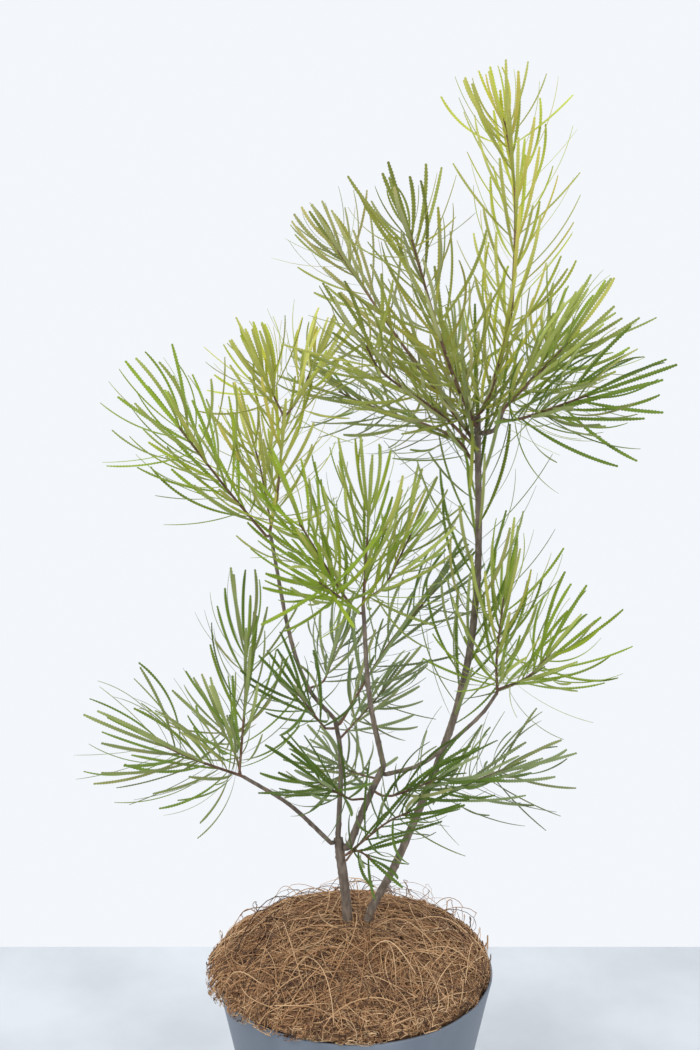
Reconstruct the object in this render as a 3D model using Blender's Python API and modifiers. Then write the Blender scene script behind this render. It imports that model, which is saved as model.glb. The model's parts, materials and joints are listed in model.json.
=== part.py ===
"""Potted hairpin banksia: two stems, their boughs and leafy sprays, in a round tapered pot.

Units are metres, +Z is up and the origin is the centre of the pot's flat underside. The plant is
seen from the front along +Y, with +X to the right. A limb is a chain of legs, each with its length
in millimetres, its heading (degrees seen from above, 0 to the right and 90 to the back) and its
rise above level. A smooth route runs through the ends of the legs. Twigs and leaves follow one
seeded rule, and each spray is one solid that keeps clear of every other limb and leaf.
"""

import math
import random
from typing import NamedTuple

import bmesh
import bpy
import numpy as np
from mathutils import Matrix, Vector

MM = 0.001
GAP = 0.0003  # air between solids that touch on the real plant

# Pot, soil and mulch
POT_HEIGHT = 0.225
POT_RIM_RADIUS = 0.125
POT_BASE_RADIUS = 0.080
POT_WALL = 0.003
POT_FLOOR = 0.004
POT_FOOT_BEVEL = 0.002
LIP_STEPS = 3
DRAIN_RADIUS = 0.006
DRAIN_CIRCLE = 0.048
DRAIN_COUNT = 5
ROUND_STEPS = 40
SOIL_TOP = POT_HEIGHT - 0.012
MULCH_RADIUS = 0.1225
MULCH_SHIFT = -0.0030  # the heap spills over the rim on the left
MULCH_CROWN = 0.042  # height of the heap above the rim
MULCH_LIP = 0.006  # height of the heap's edge above the rim
MULCH_RINGS = 5
MULCH_LUMP = 0.0014
STEM_HOLE_PLAY = 0.0009  # wider than a stem all round, where it comes through the mulch

# Limbs
STEM_FOOT = {"left_stem": -0.008, "right_stem": 0.010}  # where each stem leaves the soil, on X
ROUTE_STEP = 0.022
STEM_RESOLUTION = 2  # bevel resolution: 2 gives eight sides, 1 gives six and 0 gives four
BOUGH_RESOLUTION = 1
TWIG_RESOLUTION = 0
ROOT_FLARE = 0.45  # extra share of the radius at the soil
ROOT_FLARE_REACH = 0.022
TWIG_TIP = 0.8  # millimetres, the radius of every twig at its tip

SAME_POINT = 3e-7  # the least distance between two points of a solid
WELD = 1e-6  # points closer than this are one
UNION_SOLVERS = ("MANIFOLD", "EXACT")
SLIMMER = 0.99  # leaf width on each new try of a union that failed

# Leaves
GOLDEN_ANGLE = 137.5
LEAF_SEED = 4290
FOOT_WHORL = (0.006, 0.016)  # distances from a twig's foot that its first whorl takes
TIP_WHORL = 0.026  # length of twig under its tip that the last whorl takes
LEAF_HALF_WIDTH = 0.0026
LEAF_THICKNESS = 0.0011
LEAF_WIDEST = 0.55  # share of its length
BLADE_RINGS = ((0.0, 0.34), (LEAF_WIDEST, 1.0), (1.0, 0.0))  # share of the length and of the width
YOUNG = ("leader", "near_front", "crown_left", "young_left_a", "young_left_b")  # still growing
LEAF_ROUND = 3
SOLID_LEAVES = (0,)  # the leaves of each round of three that are solid
LEAF_FLOOR = POT_HEIGHT + 0.050  # leaves stay above the mulch
OTHER_PLACES = ((0, 0), (22, 0), (-22, 0), (0, 14), (0, -14), (44, 6), (-44, 6), (66, -8), (-66, -8))
LEAF_PIECES = ((0.0, 0.2, 0.55), (0.2, LEAF_WIDEST, 1.0), (LEAF_WIDEST, 1.0, 1.0))


class Limb(NamedTuple):
    """One tapering limb: where it grows from, its legs, its radius and its leaves."""

    name: str
    parent: str
    at: float  # share of the parent's length
    legs: tuple  # (millimetres, heading, rise) each
    radii: tuple  # millimetres at the foot and at the tip
    leaves: tuple = (0, 0, 0)  # round the foot, along the side and round the tip
    leaf_length: float = 70.0  # millimetres
    bare: float = 0.0  # share of the length below the first side leaf


def twig(name, parent, at, legs, radius, leaves, leaf_length, bare=0.0):
    """A leafy twig, which tapers to the radius that every twig has at its tip."""
    return Limb(name, parent, at, legs, (radius, TWIG_TIP), leaves, leaf_length, bare)


STEMS = (
    Limb("left_stem", "", 0.0, ((55, 0, 88), (80, 180, 84)), (4.6, 4.2)),
    Limb("right_stem", "", 0.0,
         ((55, 0, 88), (75, 9, 65), (135, 16, 69), (115, -10, 82), (150, -112, 87)),
         (3.8, 2.7), (0, 38, 0), 98.0, 0.47),
)

BOUGHS = (
    Limb("low_left_bough", "left_stem", 0.98, ((60, -166, 42), (50, -166, 37)), (2.0, 1.6)),
    Limb("centre_bough", "left_stem", 1.0, ((70, 80, 79), (35, 127, 77)), (2.4, 2.0)),
    Limb("centre_upper_bough", "centre_bough", 1.0,
         ((40, 180, 53), (55, -160, 72), (95, -138, 78)), (1.9, 1.5)),
    Limb("middle_bough", "left_stem", 0.94, ((50, -18, 61), (40, -20, 67)), (3.3, 2.9)),
    Limb("middle_upper_bough", "middle_bough", 1.0, ((70, -152, 79), (80, -165, 86)), (2.5, 1.7)),
    Limb("right_low_bough", "middle_bough", 0.94, ((40, 11, 10), (60, 6, 40), (30, -14, 56)),
         (2.0, 1.5)),
    Limb("crooked_bough", "right_stem", 0.975, ((25, -60, 12), (25, -75, 48)), (2.0, 1.7)),
)

SPRAYS = {
    "low_left_spray": (
        twig("low_left_a", "low_left_bough", 1.0, ((45, 180, 21), (35, 172, 22)), 1.4, (12, 16, 14), 87),
        twig("low_left_b", "low_left_a", 0.05, ((70, 63, 80), (45, 91, 74)), 1.2, (4, 16, 14), 74),
        twig("low_left_c", "low_left_a", 0.03, ((25, 107, 27), (50, 111, 12)), 1.1, (0, 9, 12), 66),
    ),
    "lowest_sprig": (
        twig("lowest", "left_stem", 0.85, ((25, -47, 40), (25, -57, 4)), 1.0, (0, 4, 8), 54),
    ),
    "low_front_sprig": (
        twig("low_front", "left_stem", 0.89, ((70, -42, 41), (35, -47, 35)), 1.2, (0, 10, 14), 68, 0.3),
    ),
    "centre_left_sprig": (
        twig("centre_left", "centre_bough", 0.95, ((15, -131, 13), (60, -125, 48)), 1.2, (0, 9, 13), 64),
    ),
    "centre_back_spray": (
        twig("centre_back", "centre_bough", 0.97, ((95, 48, 39), (65, 28, 42)), 1.4, (0, 22, 14), 70),
    ),
    "centre_back_sprig": (
        twig("centre_rear", "centre_bough", 0.85, ((55, 68, 3), (50, 62, 12)), 1.2, (0, 14, 13), 66),
    ),
    "inner_back_sprig": (
        twig("inner_back", "centre_upper_bough", 0.2, ((20, 50, 8), (50, 74, 28)), 1.1, (0, 10, 12), 66),
    ),
    "upper_left_spray": (
        twig("upper_left", "centre_upper_bough", 0.985, ((60, -158, 49), (65, -156, 54)), 1.3,
             (0, 26, 15), 84),
    ),
    "young_left_spray": (
        twig("young_left_stem", "centre_upper_bough", 1.0, ((40, 61, 70), (60, 73, 76)), 1.4,
             (8, 18, 0), 72),
        twig("young_left_a", "young_left_stem", 1.0, ((30, 163, 63), (18, -167, 68)), 1.0, (4, 12, 15), 66),
        twig("young_left_b", "young_left_stem", 0.97, ((25, 33, 47), (45, 62, 48)), 1.0, (3, 13, 14), 66),
        twig("young_left_c", "young_left_stem", 0.06, ((50, 111, 58), (30, 113, 48)), 1.0, (0, 12, 12), 68),
    ),
    "low_inner_sprig": (
        twig("low_inner", "middle_bough", 0.62, ((15, -161, 7), (50, -137, 36)), 1.1, (0, 9, 15), 66),
    ),
    "inner_rear_sprig": (
        twig("inner_rear", "middle_bough", 0.84, ((35, 117, -10), (45, 119, -8)), 1.1, (0, 11, 12), 64),
    ),
    "low_right_sprig": (
        twig("low_right", "middle_bough", 0.74, ((20, -34, -3), (55, -31, 30)), 1.2, (0, 10, 15), 70),
    ),
    "right_spray": (
        twig("right_up", "right_low_bough", 1.0, ((30, 97, 83), (55, 64, 75)), 1.3, (14, 14, 14), 78),
        twig("right_out", "right_up", 0.04, ((30, -19, 29), (40, -54, 47)), 1.2, (6, 12, 14), 80),
    ),
    "middle_top_spray": (
        twig("middle_top", "middle_upper_bough", 1.0, ((65, 58, 84), (20, 89, 77)), 1.4, (9, 18, 15), 76),
        twig("middle_top_right", "middle_top", 0.06, ((30, 47, 18), (50, 51, 46)), 1.1, (3, 13, 14), 72),
    ),
    "middle_front_spray": (
        twig("middle_front", "middle_upper_bough", 0.965, ((25, -152, 43), (80, -149, 58)), 1.3,
             (3, 19, 14), 76),
        twig("middle_near", "middle_front", 0.12, ((45, -113, 30), (35, -110, 28)), 1.1, (0, 11, 14), 68),
    ),
    "right_back_sprig": (
        twig("right_back", "right_stem", 0.33, ((75, 42, 2), (35, 34, 4)), 1.4, (0, 17, 14), 78),
    ),
    "leader_spray": (
        twig("leader", "right_stem", 1.0, ((15, 0, 60), (55, 7, 74), (45, 49, 80), (75, 88, 82),
                                           (57, 153, 79)), 2.0, (14, 54, 20), 80),
    ),
    "crown_back_sprig": (
        twig("crown_back", "right_stem", 0.985, ((75, 98, 22), (35, 97, 36)), 1.3, (0, 18, 14), 72),
    ),
    "near_front_spray": (
        twig("near_front", "right_stem", 0.987, ((90, -119, 45), (126, -116, 53)), 1.8, (4, 42, 20), 76),
    ),
    "crown_left_spray": (
        twig("crown_left", "right_stem", 0.965, ((95, 159, 48), (110, 160, 53)), 1.7, (4, 36, 20), 74),
    ),
    "crown_left_low_sprig": (
        twig("crown_left_low", "right_stem", 0.955, ((45, -156, 38), (80, -134, 30), (35, -125, 44)), 1.5,
             (4, 26, 15), 72),
    ),
    "crown_left_back_sprig": (
        twig("crown_left_back", "right_stem", 0.926, ((35, 152, 38), (105, 133, 8), (30, 142, 16)), 1.5,
             (4, 26, 15), 72),
    ),
    "crown_right_spray": (
        twig("crown_right", "crooked_bough", 1.0, ((10, -30, 50), (56, 16, 43), (15, 34, 44)), 1.5,
             (12, 18, 15), 78),
        twig("crown_right_rear", "crown_right", 0.12, ((50, 54, 25), (50, 72, 22)), 1.2, (0, 16, 14), 72),
    ),
    "crown_right_low_sprig": (
        twig("crown_right_low", "crooked_bough", 0.8, ((20, -30, 5), (65, -42, 22)), 1.3, (4, 18, 15), 80),
    ),
}


def leg_vector(leg):
    """The straight run of one leg."""
    length, heading, rise = leg[0] * MM, math.radians(leg[1]), math.radians(leg[2])
    level = length * math.cos(rise)
    return np.array([level * math.cos(heading), level * math.sin(heading), length * math.sin(rise)])


def unit(vector):
    return vector / np.linalg.norm(vector)


def off_axis(vector, axis):
    """The part of a vector that is square to an axis, at length one."""
    return unit(vector - axis * float(axis @ vector))


def smooth_route(corners, step):
    """Points at even steps on a smooth curve (Catmull-Rom) through the corners."""
    ends = [2 * corners[0] - corners[1], *corners, 2 * corners[-1] - corners[-2]]
    points = [corners[0]]
    for before, start, end, after in zip(ends, ends[1:], ends[2:], ends[3:]):
        count = max(1, round(np.linalg.norm(end - start) / step))
        for k in range(1, count + 1):
            t = k / count
            points.append(0.5 * (2 * start + (end - before) * t
                                 + (2 * before - 5 * start + 4 * end - after) * t ** 2
                                 + (3 * start - before - 3 * end + after) * t ** 3))
    return points


class Grown:
    """A limb in place: its route as points, the distance to each, and its radius along it."""

    def __init__(self, limb, node, points):
        self.limb = limb
        self.node = node
        self.points = points
        runs = [np.linalg.norm(b - a) for a, b in zip(points, points[1:])]
        self.distances = np.concatenate([[0.0], np.cumsum(runs)])
        self.length = self.distances[-1]

    def place(self, distance):
        """The point at a distance along the limb, and the limb's direction there."""
        k = int(np.searchsorted(self.distances, distance, side="right")) - 1
        k = min(max(k, 0), len(self.points) - 2)
        run = self.points[k + 1] - self.points[k]
        share = (distance - self.distances[k]) / (self.distances[k + 1] - self.distances[k])
        return self.points[k] + run * share, unit(run)

    def radius(self, distance):
        foot, tip = (r * MM for r in self.limb.radii)
        flare = 0.0
        if not self.limb.parent:
            flare = foot * ROOT_FLARE * math.exp(-distance / ROOT_FLARE_REACH)
        return foot + (tip - foot) * distance / self.length + flare


def corner_chain(start, legs):
    """The ends of the legs, one after the other from the start."""
    corners = [start]
    for leg in legs:
        corners.append(corners[-1] + leg_vector(leg))
    return corners


def grow(limb, node, grown):
    """Start a limb on its parent, or on the soil, and lead it along its legs."""
    if not limb.parent:
        start = np.array([STEM_FOOT[limb.name], 0.0, SOIL_TOP + GAP])
        upright = start + np.array([0.0, 0.0, 3 * MM])
        return Grown(limb, node, [start] + smooth_route(corner_chain(upright, limb.legs), ROUTE_STEP))

    parent = grown[limb.parent]
    reach = limb.at * parent.length
    axis_point, axis = parent.place(reach)
    corners = corner_chain(axis_point, limb.legs)
    if parent.node == node:
        return Grown(limb, node, smooth_route(corners, ROUTE_STEP))
    radius = limb.radii[0] * MM
    if limb.at == 1.0:
        foot = axis_point + axis * GAP
        corners[0] = foot + axis * radius * 0.8
    else:
        first = unit(corners[1] - corners[0])
        square = off_axis(first, axis)
        foot = axis_point + square * (parent.radius(reach) + GAP)
        corners[0] = foot + square * radius * 1.3
    return Grown(limb, node, [foot] + smooth_route(corners, ROUTE_STEP))


def grow_all():
    """Every limb in place by name: the stems, the boughs, then the twigs of the sprays."""
    grown = {}
    for limb in STEMS + BOUGHS:
        grown[limb.name] = grow(limb, limb.name, grown)
    for node, twigs in SPRAYS.items():
        for limb in twigs:
            grown[limb.name] = grow(limb, node, grown)
    return grown


class Leaf(NamedTuple):
    """A blade by its root, direction and length, the way it bends, and how it is turned."""

    root: np.ndarray
    direction: np.ndarray
    length: float
    bend_way: np.ndarray
    bend: float
    face: np.ndarray  # square to the upper side


def leaf_stations(limb, length):
    """Distances along a twig where its leaves stand, each with its whorl and its share of that."""
    foot_count, side_count, tip_count = limb.leaves
    low, high = FOOT_WHORL
    side_from = max(high, limb.bare * length)
    side_to = length - (TIP_WHORL if tip_count else low)
    stations = []
    for k in range(foot_count):
        share = (k + 0.5) / foot_count
        stations.append((low + (high - low) * share, "foot", share))
    for k in range(side_count):
        share = (k + 0.5) / side_count
        stations.append((side_from + (side_to - side_from) * share, "side", share))
    for k in range(tip_count):
        share = (k + 0.5) / tip_count
        stations.append((length - TIP_WHORL * (1 - share), "tip", share))
    return stations


def leaf_angle(whorl, share, draw):
    """How far a leaf leans out from its twig, in degrees."""
    if whorl == "foot":
        return 86 + 14 * draw
    if whorl == "side":
        return 57 - 10 * share + 12 * draw
    return 74 - 50 * share + 8 * draw


def leaf_share(whorl, share, young):
    """A leaf's length as a share of its twig's usual leaf."""
    if whorl == "foot":
        return 0.9
    if whorl == "side":
        return 1.0
    return 1.0 - (0.5 if young else 0.14) * share


def set_leaf(grown, number, station, rng, turn=0, lean=0):
    """One leaf of the rule. turn and lean set it aside, in degrees, where its place is taken."""
    distance, whorl, share = station
    draws = [rng.uniform(-1, 1) for _ in range(5)]
    root, axis = grown.place(distance)
    guide = np.array([1.0, 0.0, 0.0]) if abs(axis[0]) < 0.8 else np.array([0.0, 1.0, 0.0])
    across = off_axis(guide, axis)
    azimuth = math.radians(number * GOLDEN_ANGLE + 14 * draws[0] + turn)
    angle = math.radians(leaf_angle(whorl, share, draws[1]) + lean)
    outward = math.cos(azimuth) * across + math.sin(azimuth) * np.cross(axis, across)
    direction = math.cos(angle) * axis + math.sin(angle) * outward
    young = grown.limb.name in YOUNG
    length = grown.limb.leaf_length * MM * leaf_share(whorl, share, young) * (1 + 0.13 * draws[2])
    bend_way = off_axis(axis, direction)
    roll = math.radians(28 * draws[4])
    face = math.cos(roll) * bend_way + math.sin(roll) * np.cross(direction, bend_way)
    return Leaf(root, direction, length, bend_way, 0.29 + 0.17 * draws[3], face)


def leaf_point(leaf, share):
    """A point on a leaf's midrib."""
    along = share * (1 - 0.6 * leaf.bend ** 2 * share ** 2)
    return leaf.root + leaf.length * (along * leaf.direction + leaf.bend * share ** 2 * leaf.bend_way)


def gaps_between(start, end, starts, ends):
    """Least distance from one straight piece to each of many."""
    run = end - start
    runs = ends - starts
    offset = start - starts
    a = float(run @ run)
    e = np.einsum("ij,ij->i", runs, runs)
    b = runs @ run
    c = offset @ run
    f = np.einsum("ij,ij->i", runs, offset)
    denominator = a * e - b * b
    parallel = denominator < 1e-14
    s = np.where(parallel, 0.0, np.clip((b * f - c * e) / np.where(parallel, 1.0, denominator), 0, 1))
    t = (b * s + f) / e
    s = np.where(t < 0, np.clip(-c / a, 0, 1), np.where(t > 1, np.clip((b - c) / a, 0, 1), s))
    t = np.clip(t, 0, 1)
    return np.linalg.norm(offset + s[:, None] * run - t[:, None] * runs, axis=1)


class Taken:
    """The space that limbs and leaves already fill, as round-ended pieces, each with its node."""

    def __init__(self):
        self.pieces = []
        self.nodes = []
        self.arrays = None

    def add(self, start, end, radius, node):
        self.pieces.append((*start, *end, radius))
        self.nodes.append(node)
        self.arrays = None

    def free(self, start, end, radius, node):
        """True where a piece keeps its gap to every piece of another node."""
        if self.arrays is None:
            self.arrays = (np.array(self.pieces), np.array(self.nodes))
        pieces, nodes = self.arrays
        others = pieces[nodes != node]
        gaps = gaps_between(start, end, others[:, :3], others[:, 3:6])
        return bool(np.all(gaps > others[:, 6] + radius + GAP))


def leaf_pieces(leaf):
    """A leaf as round-ended pieces."""
    for low, high, width in LEAF_PIECES:
        yield leaf_point(leaf, low), leaf_point(leaf, high), width * LEAF_HALF_WIDTH


def place_leaves(grown):
    """The solid leaves of each node. One that finds no free place near its own is left out."""
    taken = Taken()
    for limb in grown.values():
        for k, (start, end) in enumerate(zip(limb.points, limb.points[1:])):
            taken.add(start, end, limb.radius(limb.distances[k]), limb.node)
    leaves = {node: [] for node in taken.nodes}
    for order, limb in enumerate(grown.values()):
        rng = random.Random(LEAF_SEED + order)
        for number, station in enumerate(leaf_stations(limb.limb, limb.length)):
            before = rng.getstate()
            set_leaf(limb, number, station, rng)
            after = rng.getstate()
            if number % LEAF_ROUND not in SOLID_LEAVES:
                continue
            for turn, lean in OTHER_PLACES:
                rng.setstate(before)
                leaf = set_leaf(limb, number, station, rng, turn, lean)
                pieces = list(leaf_pieces(leaf))
                low = min(end[2] for _, end, _ in pieces)
                if low > LEAF_FLOOR and all(taken.free(*piece, limb.node) for piece in pieces):
                    leaves[limb.node].append(leaf)
                    for piece in pieces:
                        taken.add(*piece, limb.node)
                    break
            rng.setstate(after)
    return leaves


def material(name, colour, roughness):
    """A plain Principled material."""
    made = bpy.data.materials.new(name)
    made.use_nodes = True
    shader = made.node_tree.nodes["Principled BSDF"]
    shader.inputs["Base Color"].default_value = (*colour, 1.0)
    shader.inputs["Roughness"].default_value = roughness
    shader.inputs["Metallic"].default_value = 0.0
    return made


def link(name, mesh, collection):
    made = bpy.data.objects.new(name, mesh)
    collection.objects.link(made)
    return made


def tube(name, points, radii, resolution, collection):
    """A tapering tube along a chain of points, as a closed mesh with flat ends."""
    curve = bpy.data.curves.new(name, "CURVE")
    curve.dimensions = "3D"
    curve.bevel_depth = 1.0
    curve.bevel_resolution = resolution
    curve.use_fill_caps = True
    spline = curve.splines.new("POLY")
    spline.points.add(len(points) - 1)
    for place, point, radius in zip(spline.points, points, radii):
        place.co = (*point, 1.0)
        place.radius = radius
    source = link(name + "_route", curve, collection)
    mesh = evaluated_mesh(source)
    weld(mesh)
    bpy.data.objects.remove(source)
    return link(name, mesh, collection)


def evaluated_mesh(source):
    """A copy of an object's mesh with its modifiers applied."""
    graph = bpy.context.evaluated_depsgraph_get()
    return bpy.data.meshes.new_from_object(source.evaluated_get(graph))


def weld(mesh):
    """Join points that lie on each other, such as those of a tube's loose caps."""
    shape = bmesh.new()
    shape.from_mesh(mesh)
    bmesh.ops.remove_doubles(shape, verts=shape.verts, dist=WELD)
    bmesh.ops.recalc_face_normals(shape, faces=shape.faces)
    if shape.calc_volume(signed=True) < 0:
        bmesh.ops.reverse_faces(shape, faces=shape.faces)
    shape.to_mesh(mesh)
    shape.free()


def limb_tube(limb, resolution, collection, play=0.0):
    """The wood of a limb, wider all round by the play that a hole for it needs."""
    radii = [limb.radius(distance) + play for distance in limb.distances]
    return tube(limb.limb.name, limb.points, radii, resolution, collection)


def blade(leaf, fullness, collection):
    """A leaf as a thin three-sided blade, flat below and ridged above: a cone led along its midrib."""
    shape = bmesh.new()
    bmesh.ops.create_cone(shape, cap_ends=True, segments=3, radius1=1.0, radius2=0.0, depth=1.0)
    slanted = [edge for edge in shape.edges if abs(edge.verts[0].co.z - edge.verts[1].co.z) > 0.5]
    bmesh.ops.subdivide_edges(shape, edges=slanted, cuts=1)
    for vert in shape.verts:
        ring = round(2 * vert.co.z + 1)
        share, width = BLADE_RINGS[ring]
        width *= fullness
        cone_radius = max(1 - ring / 2, 0.5)
        aside = vert.co.x / cone_radius / math.sin(math.pi / 3) * width * LEAF_HALF_WIDTH
        above = (vert.co.y / cone_radius + 0.5) * width * LEAF_THICKNESS / 1.5
        tangent = unit(leaf_point(leaf, share + 0.05) - leaf_point(leaf, share - 0.05))
        face = off_axis(leaf.face, tangent)
        vert.co = leaf_point(leaf, share) + aside * np.cross(face, tangent) + above * face
    mesh = bpy.data.meshes.new("leaf")
    shape.to_mesh(mesh)
    shape.free()
    return link("leaf", mesh, collection)


def largest_body(mesh):
    """Drop loose scraps and sealed hollows: only the body with the most points stays."""
    shape = bmesh.new()
    shape.from_mesh(mesh)
    left = set(shape.verts)
    bodies = []
    while left:
        body = {left.pop()}
        edge_of_body = list(body)
        while edge_of_body:
            vert = edge_of_body.pop()
            for edge in vert.link_edges:
                near = edge.other_vert(vert)
                if near in left:
                    left.remove(near)
                    body.add(near)
                    edge_of_body.append(near)
        bodies.append(body)
    bodies.sort(key=len)
    for body in bodies[:-1]:
        bmesh.ops.delete(shape, geom=list(body), context="VERTS")
    shape.to_mesh(mesh)
    shape.free()


def settled(mesh):
    """A union as triangles, or None where it is open or has two points in one place."""
    for ngon_method in ("BEAUTY", "EAR_CLIP"):
        shape = bmesh.new()
        shape.from_mesh(mesh)
        bmesh.ops.triangulate(shape, faces=shape.faces, ngon_method=ngon_method)
        closed = all(edge.is_manifold for edge in shape.edges)
        doubles = bmesh.ops.find_doubles(shape, verts=shape.verts, dist=SAME_POINT)["targetmap"]
        if closed and not doubles:
            shape.to_mesh(mesh)
            shape.free()
            return mesh
        shape.free()
    return None


def unite(body, others, name):
    """The union of overlapping solids as a closed mesh, or None where no solver gives one."""
    fused = bpy.data.collections.new(name + "_fused")
    bpy.context.scene.collection.children.link(fused)
    for other in others:
        fused.objects.link(other)
    union = body.modifiers.new("union", "BOOLEAN")
    union.operation = "UNION"
    union.operand_type = "COLLECTION"
    union.collection = fused
    for solver in UNION_SOLVERS:
        union.solver = solver
        mesh = evaluated_mesh(body)
        largest_body(mesh)
        mesh = settled(mesh)
        if mesh:
            break
    body.modifiers.remove(union)
    bpy.data.collections.remove(fused)
    return mesh


def fuse(name, wood, leaves, collection):
    """A node as one solid: its wood and leaves. Where the union fails, one leaf after another sits out."""
    mesh = None
    tries = 0
    while mesh is None:
        kept = [leaf for number, leaf in enumerate(leaves) if number + 1 != tries]
        blades = [blade(leaf, SLIMMER ** tries, collection) for leaf in kept]
        mesh = unite(wood[0], wood[1:] + blades, name)
        for solid in blades:
            bpy.data.objects.remove(solid)
        tries += 1
    for solid in wood:
        bpy.data.objects.remove(solid)
    return link(name, mesh, collection)


def build_plant(grown, leaves, parts, looks):
    """A solid for each stem, bough and spray."""
    for limb in STEMS + BOUGHS:
        name = limb.name
        made = limb_tube(grown[name], BOUGH_RESOLUTION if limb.parent else STEM_RESOLUTION, parts)
        if leaves[name]:
            made = fuse(name, [made], leaves[name], parts)
        finish(made, looks["bark"], grown[name].points[0])
    for name, twigs in SPRAYS.items():
        wood = [limb_tube(grown[limb.name], TWIG_RESOLUTION, parts) for limb in twigs]
        look = looks["young leaf" if twigs[-1].name in YOUNG else "leaf"]
        finish(fuse(name, wood, leaves[name], parts), look, grown[twigs[0].name].points[0])


def finish(made, look, origin=(0.0, 0.0, 0.0)):
    """Give a solid its material and put its origin at its foot."""
    mesh = made.data
    mesh.name = made.name
    mesh.materials.clear()
    mesh.materials.append(look)
    mesh.transform(Matrix.Translation(-Vector(origin)))
    made.location = origin


def turned(name, profile, collection):
    """A round solid from its half outline, given from the axis over the top and down the outside."""
    shape = bmesh.new()
    verts = [shape.verts.new((radius, 0.0, height)) for radius, height in profile]
    for start, end in zip(verts, verts[1:]):
        shape.edges.new((start, end))
    mesh = bpy.data.meshes.new(name)
    shape.to_mesh(mesh)
    shape.free()
    made = link(name, mesh, collection)
    screw = made.modifiers.new("turn", "SCREW")
    screw.steps = ROUND_STEPS
    screw.render_steps = ROUND_STEPS
    screw.use_merge_vertices = True
    screw.merge_threshold = 0.0001
    return made


def wall_radius(height):
    """The pot's outer radius at a height."""
    return POT_BASE_RADIUS + (POT_RIM_RADIUS - POT_BASE_RADIUS) * height / POT_HEIGHT


def cut(made, cutters):
    """Take the cutters' shapes out of a solid."""
    hidden = bpy.data.collections["cutters"]
    for k, cutter in enumerate(cutters):
        cutter.name = f"{made.name}_cutter_{k}"
        cutter.hide_render = True
        cutter.display_type = "WIRE"
        for holder in cutter.users_collection:
            holder.objects.unlink(cutter)
        hidden.objects.link(cutter)
        hole = made.modifiers.new(cutter.name, "BOOLEAN")
        hole.operation = "DIFFERENCE"
        hole.object = cutter
        hole.solver = "MANIFOLD"


def build_pot(parts, looks):
    """A turned shell with a rounded rim, a flat underside and drainage holes off its centre."""
    inner_rim = POT_RIM_RADIUS - POT_WALL
    lip = POT_WALL / 2
    profile = [(0.0, POT_FLOOR), (wall_radius(POT_FLOOR) - POT_WALL, POT_FLOOR)]
    for k in range(LIP_STEPS + 1):
        angle = math.pi * (1 - k / LIP_STEPS)
        profile.append((inner_rim + lip * (1 + math.cos(angle)), POT_HEIGHT - lip * (1 - math.sin(angle))))
    profile += [(wall_radius(POT_FOOT_BEVEL), POT_FOOT_BEVEL), (POT_BASE_RADIUS - POT_FOOT_BEVEL, 0.0),
                (0.0, 0.0)]
    pot = turned("pot", profile, parts)
    drains = []
    for k in range(DRAIN_COUNT):
        angle = 2 * math.pi * k / DRAIN_COUNT
        bpy.ops.mesh.primitive_cylinder_add(
            vertices=16, radius=DRAIN_RADIUS, depth=4 * POT_FLOOR,
            location=(DRAIN_CIRCLE * math.cos(angle), DRAIN_CIRCLE * math.sin(angle), 0.0))
        drains.append(bpy.context.object)
    cut(pot, drains)
    finish(pot, looks["pot"])


def build_soil(parts, looks):
    """Soil that fills the pot to a little below its rim."""
    low, high = POT_FLOOR + GAP, SOIL_TOP
    inside = POT_WALL + 1.5 * GAP
    profile = [(0.0, high), (wall_radius(high) - inside, high), (wall_radius(low) - inside, low), (0.0, low)]
    finish(turned("soil", profile, parts), looks["soil"])


def heap_height(share):
    """Height of the mulch above the rim, by the distance from its middle as a share of its radius."""
    return MULCH_LIP + (MULCH_CROWN - MULCH_LIP) * (1 - share ** 2)


def build_mulch(grown, parts, looks):
    """A heap of coconut fibre: a plug inside the rim and a dome that spills over it on the left."""
    plug = wall_radius(SOIL_TOP) - POT_WALL - 2 * GAP
    over_rim = POT_HEIGHT + 2 * GAP
    profile = [(0.0, POT_HEIGHT + MULCH_CROWN)]
    for k in range(1, MULCH_RINGS + 1):
        share = k / MULCH_RINGS
        profile.append((MULCH_RADIUS * share, POT_HEIGHT + heap_height(share)))
    profile += [(MULCH_RADIUS + 0.001, POT_HEIGHT + MULCH_LIP / 2), (MULCH_RADIUS - 0.001, over_rim),
                (plug, over_rim), (plug, SOIL_TOP + GAP), (0.0, SOIL_TOP + GAP)]
    rough = turned("mulch_round", profile, parts)
    mesh = evaluated_mesh(rough)
    bpy.data.objects.remove(rough)
    for vert in mesh.vertices:
        x, y, z = vert.co
        raised = (z - over_rim) / MULCH_CROWN
        if raised > -1e-4:
            vert.co.x += MULCH_SHIFT if math.hypot(x, y) > plug + GAP or raised > 0.02 else 0.0
        if raised > 0.1:
            vert.co.z += MULCH_LUMP * math.sin(90 * x + 1.0) * math.cos(75 * y - 0.5)
    mulch = link("coir_mulch", mesh, parts)
    stems = [limb_tube(grown[limb.name], STEM_RESOLUTION, parts, STEM_HOLE_PLAY) for limb in STEMS]
    for stem in stems:
        stem.location.z -= 2 * MM
    cut(mulch, stems)
    mesh = evaluated_mesh(mulch)
    weld(mesh)
    mulch.modifiers.clear()
    mulch.data = mesh
    finish(mulch, looks["coir"])


def clear_scene():
    for old in list(bpy.data.objects):
        bpy.data.objects.remove(old)


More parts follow.
